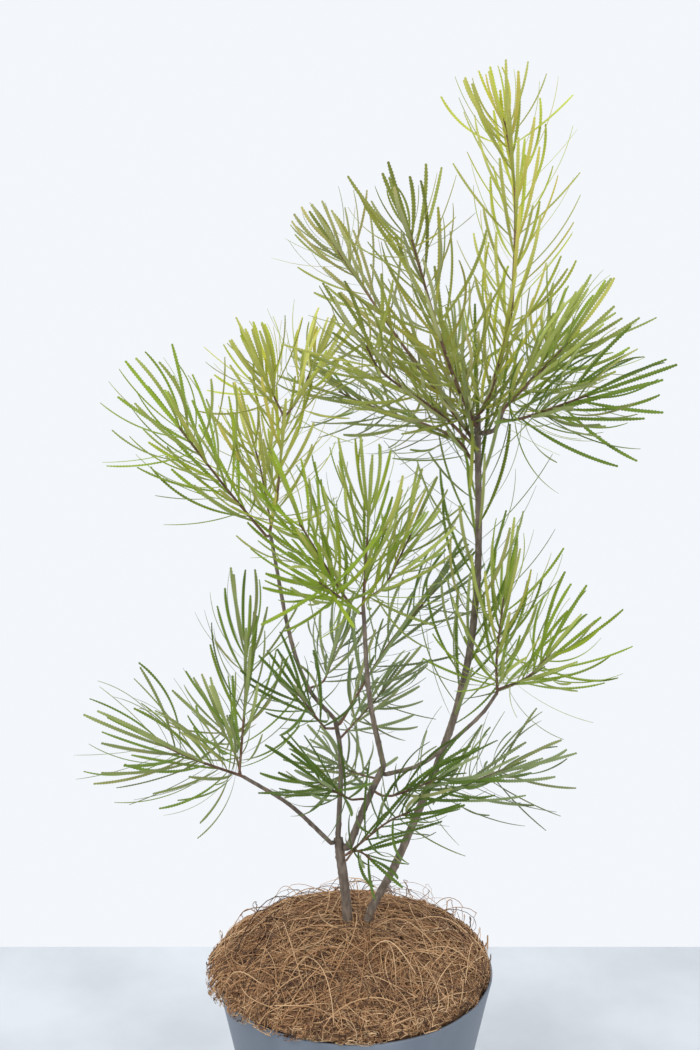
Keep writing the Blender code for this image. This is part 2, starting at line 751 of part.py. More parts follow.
def main():
    clear_scene()
    parts = bpy.data.collections.new("potted_hairpin_banksia")
    cutters = bpy.data.collections.new("cutters")
    for collection in (parts, cutters):
        bpy.context.scene.collection.children.link(collection)
    looks = {
        "pot": material("slate_grey_pot", (0.22, 0.25, 0.29), 0.62),
        "soil": material("dark_soil", (0.06, 0.045, 0.035), 0.95),
        "coir": material("coir_fibre", (0.42, 0.25, 0.12), 0.9),
        "bark": material("grey_brown_bark", (0.2, 0.16, 0.12), 0.85),
        "leaf": material("green_leaf", (0.17, 0.28, 0.07), 0.6),
        "young leaf": material("young_yellow_green_leaf", (0.38, 0.46, 0.1), 0.6),
    }
    grown = grow_all()
    build_pot(parts, looks)
    build_soil(parts, looks)
    build_mulch(grown, parts, looks)
    build_plant(grown, place_leaves(grown), parts, looks)
    plant = bpy.data.objects.new("banksia_in_its_pot", None)
    parts.objects.link(plant)
    for made in parts.objects:
        if made.type == "MESH":
            made.parent = plant


if __name__ == "__main__":
    main()
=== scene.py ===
"""Dresses the potted hairpin banksia: toothed leaves, bark, coconut fibre and a marbled pot.

Units are metres, +Z is up and the origin is the centre of the pot's flat underside. The limbs and the
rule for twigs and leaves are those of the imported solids. Here the rule is carried further, in the same
reach: each twig has more leaves than its solid does.
"""

import json
import math
import random
from typing import NamedTuple

import bmesh
import bpy
import numpy as np
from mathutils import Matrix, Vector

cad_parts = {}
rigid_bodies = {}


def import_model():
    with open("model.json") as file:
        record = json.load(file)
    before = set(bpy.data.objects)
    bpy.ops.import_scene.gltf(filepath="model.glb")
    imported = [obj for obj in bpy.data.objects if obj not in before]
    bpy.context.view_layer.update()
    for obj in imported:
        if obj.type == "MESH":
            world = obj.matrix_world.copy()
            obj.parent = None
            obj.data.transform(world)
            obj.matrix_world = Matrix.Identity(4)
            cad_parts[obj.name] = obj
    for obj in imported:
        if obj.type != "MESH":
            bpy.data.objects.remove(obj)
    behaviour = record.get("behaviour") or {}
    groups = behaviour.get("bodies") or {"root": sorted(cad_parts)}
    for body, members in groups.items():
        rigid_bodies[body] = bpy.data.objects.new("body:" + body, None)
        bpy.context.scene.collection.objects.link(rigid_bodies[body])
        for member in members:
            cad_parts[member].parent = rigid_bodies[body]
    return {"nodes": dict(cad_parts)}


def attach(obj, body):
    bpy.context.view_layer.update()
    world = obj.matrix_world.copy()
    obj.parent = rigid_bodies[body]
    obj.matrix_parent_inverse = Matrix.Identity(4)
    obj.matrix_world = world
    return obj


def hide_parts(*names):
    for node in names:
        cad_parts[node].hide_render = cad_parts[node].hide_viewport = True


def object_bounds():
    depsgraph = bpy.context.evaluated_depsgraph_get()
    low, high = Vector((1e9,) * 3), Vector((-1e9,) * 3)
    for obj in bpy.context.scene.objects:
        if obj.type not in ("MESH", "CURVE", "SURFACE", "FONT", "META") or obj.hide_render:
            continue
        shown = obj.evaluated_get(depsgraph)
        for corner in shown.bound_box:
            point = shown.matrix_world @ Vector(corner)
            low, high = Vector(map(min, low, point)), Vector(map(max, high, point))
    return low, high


MM = 0.001
GAP = 0.0003  # clearance between one node and the next

# Camera, from the photograph
CAMERA_PLACE = (-0.0041, -1.197, 0.924)
CAMERA_PITCH = 13.46  # degrees below level
CAMERA_LENS = 50.0  # millimetres
CAMERA_SENSOR = 36.0  # millimetres

# Studio
LIGHT_TARGET = (0.0, 0.0, 0.55)
LIGHTS = (  # name, place, width, watts
    ("key", (-1.3, -1.1, 2.1), 1.3, 26.0),
    ("fill", (1.6, -0.9, 1.4), 1.6, 9.0),
    ("back", (0.5, 1.7, 2.0), 1.4, 15.0),
)
SURROUND_COLOUR = (0.90, 0.925, 0.965)
FLOOR_HALF_WIDTH = 2.5
FLOOR_FRONT = -3.0
FLOOR_BACK = 0.43  # where the floor ends behind the plant, on Y
FLOOR_TONES = ((0.35, (0.50, 0.53, 0.56)), (0.65, (0.60, 0.63, 0.66)))

# Pot and soil
POT_HEIGHT = 0.225
POT_RIM_RADIUS = 0.125
POT_BASE_RADIUS = 0.080
POT_WALL = 0.003
POT_FLOOR = 0.004
POT_TAPER = (POT_RIM_RADIUS - POT_BASE_RADIUS) / POT_HEIGHT
FOOT_BEVEL = 0.002
POT_SIDES = 144
LIP_STEPS = 8
WALL_STEPS = 12
SHARP_EDGE = 50  # degrees between two faces past which their shading is split
SAME_POINT = 1e-5
SOIL_TOP = POT_HEIGHT - 0.012
POT_TONES = ((0.3, (0.085, 0.105, 0.135)), (0.5, (0.14, 0.165, 0.205)), (0.68, (0.22, 0.25, 0.30)))
SCRATCH_TONES = ((0.66, (0.16, 0.19, 0.23)), (0.70, (0.36, 0.40, 0.44)))
SOIL_TONES = ((0.35, (0.02, 0.014, 0.01)), (0.65, (0.09, 0.065, 0.045)))

# Heap of mulch
MULCH_RADIUS = 0.1225
MULCH_SHIFT = -0.0030  # the heap spills over the rim on the left
MULCH_CROWN = 0.042  # height of the heap above the rim
MULCH_LIP = 0.006  # height of the heap's edge above the rim
LUMP_HEIGHT = 0.0014
LUMP_WAVES = ((90, 1.0), (75, -0.5))  # radians a metre and the radians it starts at, on X and on Y
SPILL_FROM = 0.99  # share of the radius past which a fibre hangs
SPILL_FALL = 0.12  # how far it hangs for each radius past that
MATTED_TONES = ((0.35, (0.07, 0.034, 0.016)), (0.5, (0.20, 0.10, 0.045)), (0.65, (0.36, 0.20, 0.095)))

# Loose coconut fibre
FIBRE_KINDS = (  # name, darkest and palest colour, count
    ("tan_fibres", (0.45, 0.24, 0.105), (0.74, 0.50, 0.28), 1500),
    ("brown_fibres", (0.24, 0.115, 0.05), (0.48, 0.26, 0.12), 1300),
    ("dark_fibres", (0.07, 0.033, 0.016), (0.16, 0.08, 0.04), 700),
)
FIBRE_SEED = 910
FIBRE_STEPS = 12
FIBRE_SIDES = 3
FIBRE_LENGTH = (0.035, 0.12)
FIBRE_RADIUS = (0.22, 0.7)  # millimetres
FIBRE_TIP = 0.45  # share of its radius that a fibre has at its end
FIBRE_CURL = 17.0  # radians a metre, the spread
FIBRE_LIFT = (0.0, 0.005)  # height of a fibre's middle above the heap
FIBRE_WAVE = (0.0006, 9)  # height of the small waves, and their radians along a fibre
LOOP_SHARE = 0.04  # share of the fibres that loop high above the heap
LOOP_LIFT = (0.006, 0.024)
RIM_SHARE = 0.3  # share of the fibres that start beside the rim
RIM_SPREAD = 0.05
RIM_TURN = (0.96, 0.5)  # share of the radius where a fibre turns along the rim, and radians at each step
FIBRE_EDGE = (0.96, 1.035)  # share of the radius that a fibre keeps within
LEFT_SPILL = (0.35, 0.055)  # how far left the heap starts to spill, and how much more it spreads there

# Limbs
STEM_FOOT = {"left_stem": -0.008, "right_stem": 0.010}  # where each stem leaves the soil, on X
STEM_UPRIGHT = 3 * MM  # each stem's foot stands square on the soil
ROUTE_STEP = 0.008
ROOT_FLARE = 0.45  # extra share of the radius at the soil
ROOT_FLARE_REACH = 0.022
END_FOOT = 0.8  # radii that a limb on its parent's end runs straight on
SIDE_FOOT = 1.3  # radii that a limb on its parent's side runs square to it
TWIG_TIP = 0.8  # millimetres, the radius of every twig at its tip

# Bark
BARK_SEED = 77
BARK_PITCH = 2.5 * MM
BARK_SIDES = 12
TWIG_SIDES = 7
FEWEST_RINGS = 4
LAST_RING = 0.9999  # share of its length where a limb's last ring stands
TIP_DOME = 0.5  # height of a tube's end, as a share of its radius
TUBE_GUIDE = (1.0, 0.02, 0.0)  # a tube's sides are counted from this way, made square to its run
BARK_RELIEF = 0.035  # share of the radius
SCAR_SHARE = 0.035  # share of the bark's points that are scars
SCAR_HEIGHT = 0.16  # share of the radius
BARK_COLOURS = ((0.075, 0.055, 0.04), (0.17, 0.13, 0.10), (0.29, 0.24, 0.19), (0.30, 0.16, 0.075))
TWIG_COLOURS = ((0.085, 0.04, 0.03), (0.17, 0.09, 0.055), (0.26, 0.17, 0.10), (0.22, 0.2, 0.09))

# Rule for the leaves
LEAF_SEED = 4290
LEAF_FULLNESS = (1.2, 1.45, 1.0)  # leaves grown for each one of the table: foot, side and tip
FOOT_WHORL = (0.006, 0.016)  # distances from a twig's foot that its first whorl takes
TIP_WHORL = 0.026  # length of twig under its tip that the last whorl takes
GOLDEN_ANGLE = 137.5  # degrees from each leaf to the next
LEVEL_TWIG = 0.8  # share of its direction on X past which a twig's leaves are counted from Y
AZIMUTH_SPREAD = 14  # degrees
# Degrees that leaves lean out from their twig: at the whorl's start, the change over it, the spread
LEAF_LEAN = {"foot": (86, 0, 14), "side": (57, -10, 12), "tip": (74, -50, 8)}
LEAF_ROLL = 28  # degrees, the spread
LEAF_BEND = (0.29, 0.17)  # how far a tip is bent aside, as a share of the length, and the spread
BEND_SHORTENING = 0.6  # how much a bent leaf falls short along its direction
LENGTH_SPREAD = 0.13
FOOT_LENGTH = 0.9  # share of the usual length that the first whorl has
TIP_LOSS = 0.14  # share of the usual length that the last leaf loses
YOUNG_TIP_LOSS = 0.5
YOUNG = ("leader", "near_front", "crown_left", "young_left_a", "young_left_b")  # still growing
LEAF_FLOOR = POT_HEIGHT + 0.044  # no leaf's tip hangs lower
OVERREACH = 0.003  # how far a leaf's tip may pass the solids' box

# Blade of a leaf
TOOTH_PITCH = 2.5 * MM
TOOTH_DEPTH = 0.40  # share of the half width
FEWEST_TEETH = 6
HALF_WIDTH = 0.0019
MIDRIB = 0.0004  # height of the midrib above the margins
# Half width of the leaf at shares of its length, as a share of the widest
OUTLINE = ((0.0, 0.30), (0.12, 0.62), (0.35, 0.95), (0.6, 1.0), (0.88, 0.92), (1.0, 0.55))
STALK = (0.14, 0.9)  # share of the length that has no teeth, and its share of the outline's width

# Leaf colours: plain base colours in linear light, for the upper side and the underside
# Of these looks, green and dark are painted shade: the bright green of the sprays high and outside on the
# crown, made darker and bluer for the sprays lower, inside and at the back
LEAF_LOOKS = {
    "young": ((0.41, 0.46, 0.050), (0.45, 0.46, 0.11)),
    "fresh": ((0.235, 0.33, 0.026), (0.33, 0.38, 0.09)),
    "green": ((0.135, 0.21, 0.020), (0.26, 0.30, 0.10)),
    "dark": ((0.09, 0.15, 0.018), (0.21, 0.26, 0.11)),
    "olive": ((0.25, 0.28, 0.050), (0.34, 0.35, 0.14)),
}
# The dark look, the deepest painted shade, goes to the sprigs low, inside and at the back of the crown
USUAL_LOOK = "dark"  # every node that isn't in the next table
NODE_LOOKS = {
    "leader_spray": "young", "young_left_spray": "young", "near_front_spray": "olive",
    "crown_left_spray": "olive", "crown_left_low_sprig": "olive", "crown_left_back_sprig": "green",
    "crown_back_sprig": "green", "crown_right_spray": "fresh", "crown_right_low_sprig": "green",
    "right_stem": "green", "upper_left_spray": "fresh", "middle_top_spray": "fresh",
    "middle_front_spray": "fresh", "right_spray": "fresh", "low_left_spray": "green",
}
# Amounts of red, green and blue at places on a ramp, for leaf after leaf and for patches on them
LEAF_TONES = ((0.0, (0.62, 0.62, 0.62)), (0.35, (1.0, 1.0, 1.0)), (0.75, (1.22, 1.22, 1.22)),
              (1.0, (1.45, 1.12, 0.85)))
PATCH_TONES = ((0.3, (0.75, 0.75, 0.75)), (0.62, (1.15, 1.15, 1.15)), (0.76, (1.4, 0.98, 0.9)))


class Limb(NamedTuple):
    """One tapering limb: where it grows from, its legs, its radius and its leaves."""

    name: str
    parent: str
    at: float  # share of the parent's length
    legs: tuple  # (millimetres, heading, rise) each
    radii: tuple  # millimetres at the foot and at the tip
    leaves: tuple = (0, 0, 0)  # round the foot, along the side and round the tip
    leaf_length: float = 70.0  # millimetres
    bare: float = 0.0  # share of the length below the first side leaf


def twig(name, parent, at, legs, radius, leaves, leaf_length, bare=0.0):
    """A leafy twig, which tapers to the radius that every twig has at its tip."""
    return Limb(name, parent, at, legs, (radius, TWIG_TIP), leaves, leaf_length, bare)


STEMS = (
    Limb("left_stem", "", 0.0, ((55, 0, 88), (80, 180, 84)), (4.6, 4.2)),
    Limb("right_stem", "", 0.0,
         ((55, 0, 88), (75, 9, 65), (135, 16, 69), (115, -10, 82), (150, -112, 87)),
         (3.8, 2.7), (0, 38, 0), 98.0, 0.47),
)

BOUGHS = (
    Limb("low_left_bough", "left_stem", 0.98, ((60, -166, 42), (50, -166, 37)), (2.0, 1.6)),
    Limb("centre_bough", "left_stem", 1.0, ((70, 80, 79), (35, 127, 77)), (2.4, 2.0)),
    Limb("centre_upper_bough", "centre_bough", 1.0,
         ((40, 180, 53), (55, -160, 72), (95, -138, 78)), (1.9, 1.5)),
    Limb("middle_bough", "left_stem", 0.94, ((50, -18, 61), (40, -20, 67)), (3.3, 2.9)),
    Limb("middle_upper_bough", "middle_bough", 1.0, ((70, -152, 79), (80, -165, 86)), (2.5, 1.7)),
    Limb("right_low_bough", "middle_bough", 0.94, ((40, 11, 10), (60, 6, 40), (30, -14, 56)),
         (2.0, 1.5)),
    Limb("crooked_bough", "right_stem", 0.975, ((25, -60, 12), (25, -75, 48)), (2.0, 1.7)),
)

SPRAYS = {
    "low_left_spray": (
        twig("low_left_a", "low_left_bough", 1.0, ((45, 180, 21), (35, 172, 22)), 1.4, (12, 16, 14), 87),
        twig("low_left_b", "low_left_a", 0.05, ((70, 63, 80), (45, 91, 74)), 1.2, (4, 16, 14), 74),
        twig("low_left_c", "low_left_a", 0.03, ((25, 107, 27), (50, 111, 12)), 1.1, (0, 9, 12), 66),
    ),
    "lowest_sprig": (
        twig("lowest", "left_stem", 0.85, ((25, -47, 40), (25, -57, 4)), 1.0, (0, 4, 8), 54),
    ),
    "low_front_sprig": (
        twig("low_front", "left_stem", 0.89, ((70, -42, 41), (35, -47, 35)), 1.2, (0, 10, 14), 68, 0.3),
    ),
    "centre_left_sprig": (
        twig("centre_left", "centre_bough", 0.95, ((15, -131, 13), (60, -125, 48)), 1.2, (0, 9, 13), 64),
    ),
    "centre_back_spray": (
        twig("centre_back", "centre_bough", 0.97, ((95, 48, 39), (65, 28, 42)), 1.4, (0, 22, 14), 70),
    ),
    "centre_back_sprig": (
        twig("centre_rear", "centre_bough", 0.85, ((55, 68, 3), (50, 62, 12)), 1.2, (0, 14, 13), 66),
    ),
    "inner_back_sprig": (
        twig("inner_back", "centre_upper_bough", 0.2, ((20, 50, 8), (50, 74, 28)), 1.1, (0, 10, 12), 66),
    ),
    "upper_left_spray": (
        twig("upper_left", "centre_upper_bough", 0.985, ((60, -158, 49), (65, -156, 54)), 1.3,
             (0, 26, 15), 84),
    ),
    "young_left_spray": (
        twig("young_left_stem", "centre_upper_bough", 1.0, ((40, 61, 70), (60, 73, 76)), 1.4,
             (8, 18, 0), 72),
        twig("young_left_a", "young_left_stem", 1.0, ((30, 163, 63), (18, -167, 68)), 1.0, (4, 12, 15), 66),
        twig("young_left_b", "young_left_stem", 0.97, ((25, 33, 47), (45, 62, 48)), 1.0, (3, 13, 14), 66),
        twig("young_left_c", "young_left_stem", 0.06, ((50, 111, 58), (30, 113, 48)), 1.0, (0, 12, 12), 68),
    ),
    "low_inner_sprig": (
        twig("low_inner", "middle_bough", 0.62, ((15, -161, 7), (50, -137, 36)), 1.1, (0, 9, 15), 66),
    ),
    "inner_rear_sprig": (
        twig("inner_rear", "middle_bough", 0.84, ((35, 117, -10), (45, 119, -8)), 1.1, (0, 11, 12), 64),
    ),
    "low_right_sprig": (
        twig("low_right", "middle_bough", 0.74, ((20, -34, -3), (55, -31, 30)), 1.2, (0, 10, 15), 70),
    ),
    "right_spray": (
        twig("right_up", "right_low_bough", 1.0, ((30, 97, 83), (55, 64, 75)), 1.3, (14, 14, 14), 78),
        twig("right_out", "right_up", 0.04, ((30, -19, 29), (40, -54, 47)), 1.2, (6, 12, 14), 80),
    ),
    "middle_top_spray": (
        twig("middle_top", "middle_upper_bough", 1.0, ((65, 58, 84), (20, 89, 77)), 1.4, (9, 18, 15), 76),
        twig("middle_top_right", "middle_top", 0.06, ((30, 47, 18), (50, 51, 46)), 1.1, (3, 13, 14), 72),
    ),
    "middle_front_spray": (
        twig("middle_front", "middle_upper_bough", 0.965, ((25, -152, 43), (80, -149, 58)), 1.3,
             (3, 19, 14), 76),
        twig("middle_near", "middle_front", 0.12, ((45, -113, 30), (35, -110, 28)), 1.1, (0, 11, 14), 68),
    ),
    "right_back_sprig": (
        twig("right_back", "right_stem", 0.33, ((75, 42, 2), (35, 34, 4)), 1.4, (0, 17, 14), 78),
    ),
    "leader_spray": (
        twig("leader", "right_stem", 1.0, ((15, 0, 60), (55, 7, 74), (45, 49, 80), (75, 88, 82),
                                           (57, 153, 79)), 2.0, (14, 54, 20), 80),
    ),
    "crown_back_sprig": (
        twig("crown_back", "right_stem", 0.985, ((75, 98, 22), (35, 97, 36)), 1.3, (0, 18, 14), 72),
    ),
    "near_front_spray": (
        twig("near_front", "right_stem", 0.987, ((90, -119, 45), (126, -116, 53)), 1.8, (4, 42, 20), 76),
    ),
    "crown_left_spray": (
        twig("crown_left", "right_stem", 0.965, ((95, 159, 48), (110, 160, 53)), 1.7, (4, 36, 20), 74),
    ),
    "crown_left_low_sprig": (
        twig("crown_left_low", "right_stem", 0.955, ((45, -156, 38), (80, -134, 30), (35, -125, 44)), 1.5,
             (4, 26, 15), 72),
    ),
    "crown_left_back_sprig": (
        twig("crown_left_back", "right_stem", 0.926, ((35, 152, 38), (105, 133, 8), (30, 142, 16)), 1.5,
             (4, 26, 15), 72),
    ),
    "crown_right_spray": (
        twig("crown_right", "crooked_bough", 1.0, ((10, -30, 50), (56, 16, 43), (15, 34, 44)), 1.5,
             (12, 18, 15), 78),
        twig("crown_right_rear", "crown_right", 0.12, ((50, 54, 25), (50, 72, 22)), 1.2, (0, 16, 14), 72),
    ),
    "crown_right_low_sprig": (
        twig("crown_right_low", "crooked_bough", 0.8, ((20, -30, 5), (65, -42, 22)), 1.3, (4, 18, 15), 80),
    ),
}


def leg_vector(leg):
    """The straight run of one leg."""
    length, heading, rise = leg[0] * MM, math.radians(leg[1]), math.radians(leg[2])
    level = length * math.cos(rise)
    return np.array([level * math.cos(heading), level * math.sin(heading), length * math.sin(rise)])


def unit(vector):
    """A vector at length one."""
    return vector / np.linalg.norm(vector)


def off_axis(vector, axis):
    """The part of a vector that is square to an axis, at length one."""
    return unit(vector - axis * float(axis @ vector))


def smooth_route(corners, step):
    """Points at even steps on a smooth curve (Catmull-Rom) through the corners."""
    ends = [2 * corners[0] - corners[1], *corners, 2 * corners[-1] - corners[-2]]
    points = [corners[0]]
    for before, start, end, after in zip(ends, ends[1:], ends[2:], ends[3:]):
        count = max(1, round(np.linalg.norm(end - start) / step))
        for k in range(1, count + 1):
            t = k / count
            points.append(0.5 * (2 * start + (end - before) * t
                                 + (2 * before - 5 * start + 4 * end - after) * t ** 2
                                 + (3 * start - before - 3 * end + after) * t ** 3))
    return points


class Grown:
    """A limb in place: its route as points, the distance to each, and its radius along it."""

    def __init__(self, limb, node, points):
        self.limb = limb
        self.node = node
        self.points = points
        runs = [np.linalg.norm(b - a) for a, b in zip(points, points[1:])]
        self.distances = np.concatenate([[0.0], np.cumsum(runs)])
        self.length = self.distances[-1]

    def place(self, distance):
        """The point at a distance along the limb, and the limb's direction there."""
        k = int(np.searchsorted(self.distances, distance, side="right")) - 1
        k = min(max(k, 0), len(self.points) - 2)
        run = self.points[k + 1] - self.points[k]
        share = (distance - self.distances[k]) / (self.distances[k + 1] - self.distances[k])
        return self.points[k] + run * share, unit(run)

    def radius(self, distance):
        """The limb's radius at a distance along it, with the root flare of a stem."""
        foot, tip = (r * MM for r in self.limb.radii)
        flare = 0.0
        if not self.limb.parent:
            flare = foot * ROOT_FLARE * math.exp(-distance / ROOT_FLARE_REACH)
        return foot + (tip - foot) * distance / self.length + flare


def corner_chain(start, legs):
    """The ends of the legs, one after the other from the start."""
    corners = [start]
    for leg in legs:
        corners.append(corners[-1] + leg_vector(leg))
    return corners


def grow(limb, node, grown):
    """Start a limb on its parent, or on the soil, and lead it along its legs."""
    if not limb.parent:
        start = np.array([STEM_FOOT[limb.name], 0.0, SOIL_TOP + GAP])
        upright = start + np.array([0.0, 0.0, STEM_UPRIGHT])
        return Grown(limb, node, [start] + smooth_route(corner_chain(upright, limb.legs), ROUTE_STEP))

    parent = grown[limb.parent]
    reach = limb.at * parent.length
    axis_point, axis = parent.place(reach)
    corners = corner_chain(axis_point, limb.legs)
    if parent.node == node:
        return Grown(limb, node, smooth_route(corners, ROUTE_STEP))
    radius = limb.radii[0] * MM
    if limb.at == 1.0:
        foot = axis_point + axis * GAP
        corners[0] = foot + axis * radius * END_FOOT
    else:
        first = unit(corners[1] - corners[0])
        square = off_axis(first, axis)
        foot = axis_point + square * (parent.radius(reach) + GAP)
        corners[0] = foot + square * radius * SIDE_FOOT
    return Grown(limb, node, [foot] + smooth_route(corners, ROUTE_STEP))


def grow_all():
    """Every limb in place by name: the stems, the boughs, then the twigs of the sprays."""
    grown = {}
    for limb in STEMS + BOUGHS:
        grown[limb.name] = grow(limb, limb.name, grown)
    for node, twigs in SPRAYS.items():
        for limb in twigs:
            grown[limb.name] = grow(limb, node, grown)
    return grown


class Leaf(NamedTuple):
    """A blade by its root, direction and length, the way it bends, and how it is turned."""

    root: np.ndarray
    direction: np.ndarray
    length: float
    bend_way: np.ndarray
    bend: float
    face: np.ndarray  # the way the upper side looks


def leaf_stations(limb, length):
    """Distances along a twig where its leaves stand, each with its whorl and its share of that."""
    foot_count, side_count, tip_count = (round(count * more)
                                         for count, more in zip(limb.leaves, LEAF_FULLNESS))
    low, high = FOOT_WHORL
    side_end = length - (TIP_WHORL if tip_count else low)
    stretches = (
        ("foot", foot_count, low, high),
        ("side", side_count, max(high, limb.bare * length), side_end),
        ("tip", tip_count, length - TIP_WHORL, length),
    )
    stations = []
    for whorl, count, start, end in stretches:
        for k in range(count):
            share = (k + 0.5) / count
            stations.append((start + (end - start) * share, whorl, share))
    return stations


def leaf_share(whorl, share, young):
    """A leaf's length as a share of its twig's usual leaf."""
    if whorl == "foot":
        return FOOT_LENGTH
    if whorl == "side":
        return 1.0
    return 1.0 - (YOUNG_TIP_LOSS if young else TIP_LOSS) * share


def set_leaf(grown, number, station, rng):
    """One leaf of the rule, with five draws of chance."""
    distance, whorl, share = station
    turn_draw, lean_draw, length_draw, bend_draw, roll_draw = (rng.uniform(-1, 1) for _ in range(5))
    root, axis = grown.place(distance)
    guide = (1.0, 0.0, 0.0) if abs(axis[0]) < LEVEL_TWIG else (0.0, 1.0, 0.0)
    across = off_axis(np.array(guide), axis)
    azimuth = math.radians(number * GOLDEN_ANGLE + AZIMUTH_SPREAD * turn_draw)
    start, change, spread = LEAF_LEAN[whorl]
    lean = math.radians(start + change * share + spread * lean_draw)
    outward = math.cos(azimuth) * across + math.sin(azimuth) * np.cross(axis, across)
    direction = math.cos(lean) * axis + math.sin(lean) * outward
    young = grown.limb.name in YOUNG
    usual = grown.limb.leaf_length * MM * leaf_share(whorl, share, young)
    bend_way = off_axis(axis, direction)
    bend, bend_spread = LEAF_BEND
    roll = math.radians(LEAF_ROLL * roll_draw)
    face = math.cos(roll) * bend_way + math.sin(roll) * np.cross(direction, bend_way)
    return Leaf(root, direction, usual * (1 + LENGTH_SPREAD * length_draw), bend_way,
                bend + bend_spread * bend_draw, face)


def midrib_points(leaf, shares):
    """Points on a leaf's midrib at shares of its length."""
    along = shares * (1 - BEND_SHORTENING * leaf.bend ** 2 * shares ** 2)
    aside = leaf.bend * shares ** 2
    return leaf.root + leaf.length * (along[:, None] * leaf.direction + aside[:, None] * leaf.bend_way)


def node_material(name, roughness):
    """A new material, with its tree and its shader."""
    made = bpy.data.materials.new(name)
    made.use_nodes = True
    tree = made.node_tree
    shader = tree.nodes["Principled BSDF"]
    shader.inputs["Roughness"].default_value = roughness
    return made, tree, shader


def noise(tree, scale, detail=4.0, stretch=(1.0, 1.0, 1.0)):
    """A noise in the object's own coordinates."""
    place = tree.nodes.new("ShaderNodeTexCoord")
    mapping = tree.nodes.new("ShaderNodeMapping")
    mapping.inputs["Scale"].default_value = stretch
    made = tree.nodes.new("ShaderNodeTexNoise")
    made.inputs["Scale"].default_value = scale
    made.inputs["Detail"].default_value = detail
    tree.links.new(place.outputs["Object"], mapping.inputs["Vector"])
    tree.links.new(mapping.outputs["Vector"], made.inputs["Vector"])
    return made.outputs["Fac"]


def piece_chance(tree):
    """A number by chance for each separate piece of a mesh, such as a leaf or a fibre."""
    return tree.nodes.new("ShaderNodeNewGeometry").outputs["Random Per Island"]


def ramp(tree, source, stops):
    """Colours at places on a ramp, driven by a source from 0 to 1."""
    made = tree.nodes.new("ShaderNodeValToRGB")
    elements = made.color_ramp.elements
    while len(elements) < len(stops):
        elements.new(0.5)
    for element, (position, colour) in zip(elements, stops):
        element.position = position
        element.color = (*colour, 1.0)
    tree.links.new(source, made.inputs["Fac"])
    return made.outputs["Color"]


def blended(tree, one, other, share):
    """One colour with a share of the other mixed in."""
    made = tree.nodes.new("ShaderNodeMix")
    made.data_type = "RGBA"
    made.inputs["Factor"].default_value = share
    tree.links.new(one, made.inputs["A"])
    tree.links.new(other, made.inputs["B"])
    return made.outputs["Result"]


def paint(tree, shader, colour):
    """Lead a colour into the shader's base colour."""
    tree.links.new(colour, shader.inputs["Base Color"])


def bump(tree, shader, height, strength, distance):
    """Roughen the shading by a height."""
    made = tree.nodes.new("ShaderNodeBump")
    made.inputs["Strength"].default_value = strength
    made.inputs["Distance"].default_value = distance
    tree.links.new(height, made.inputs["Height"])
    tree.links.new(made.outputs["Normal"], shader.inputs["Normal"])


def tinted(colour, tones):
    """Stops for a ramp: the colour with the amounts of red, green and blue that each tone has."""
    return [(position, tuple(part * amount for part, amount in zip(colour, amounts)))
            for position, amounts in tones]


def leaf_material(name, colour, roughness):
    """Leathery leaf: each blade has its own tone, a fine grain and a browner patch here and there."""
    made, tree, shader = node_material(name, roughness)
    shader.inputs["Specular IOR Level"].default_value = 0.25
    own = ramp(tree, piece_chance(tree), tinted(colour, LEAF_TONES))
    patch = ramp(tree, noise(tree, scale=55.0), tinted(colour, PATCH_TONES))
    paint(tree, shader, blended(tree, own, patch, share=0.4))
    bump(tree, shader, noise(tree, scale=900.0), strength=0.25, distance=0.0004)
    return made


def bark_material(name, colours):
    """Bark of four colours, dark, middle, pale and scar, with grain along the limb and broad patches."""
    dark, middle, pale, scar = colours
    made, tree, shader = node_material(name, roughness=0.85)
    grain = noise(tree, scale=260.0, detail=8.0, stretch=(1.0, 1.0, 0.35))
    fine = ramp(tree, grain, ((0.3, dark), (0.48, middle), (0.62, pale), (0.72, scar)))
    broad = ramp(tree, noise(tree, scale=34.0), ((0.35, dark), (0.6, middle), (0.75, pale)))
    paint(tree, shader, blended(tree, fine, broad, share=0.4))
    bump(tree, shader, grain, strength=0.7, distance=0.0008)
    return made


def pot_material():
    """Slate grey moulded plastic with a faint marbling and pale scratches."""
    made, tree, shader = node_material("marbled_slate_pot", roughness=0.5)
    marble = noise(tree, scale=13.0, detail=9.0, stretch=(1.0, 1.0, 0.45))
    streak = noise(tree, scale=42.0, detail=6.0, stretch=(1.0, 1.0, 0.08))
    base = ramp(tree, marble, POT_TONES)
    scratch = ramp(tree, streak, SCRATCH_TONES)
    paint(tree, shader, blended(tree, base, scratch, share=0.3))
    gloss = ramp(tree, marble, ((0.3, (0.42, 0.42, 0.42)), (0.7, (0.62, 0.62, 0.62))))
    tree.links.new(gloss, shader.inputs["Roughness"])
    bump(tree, shader, noise(tree, scale=480.0), strength=0.15, distance=0.0004)
    return made


def fibre_material(name, dark, pale):
    """Coconut fibre: each strand has its own tone between the dark and the pale."""
    made, tree, shader = node_material(name, roughness=0.75)
    paint(tree, shader, ramp(tree, piece_chance(tree), ((0.0, dark), (1.0, pale))))
    bump(tree, shader, noise(tree, scale=1500.0), strength=0.3, distance=0.0002)
    return made


def crumb_material(name, tones, scale, detail, strength):
    """A loose, crumbly surface, whose colour and bump share one noise."""
    made, tree, shader = node_material(name, roughness=0.95)
    crumbs = noise(tree, scale, detail)
    paint(tree, shader, ramp(tree, crumbs, tones))
    bump(tree, shader, crumbs, strength, distance=0.002)
    return made


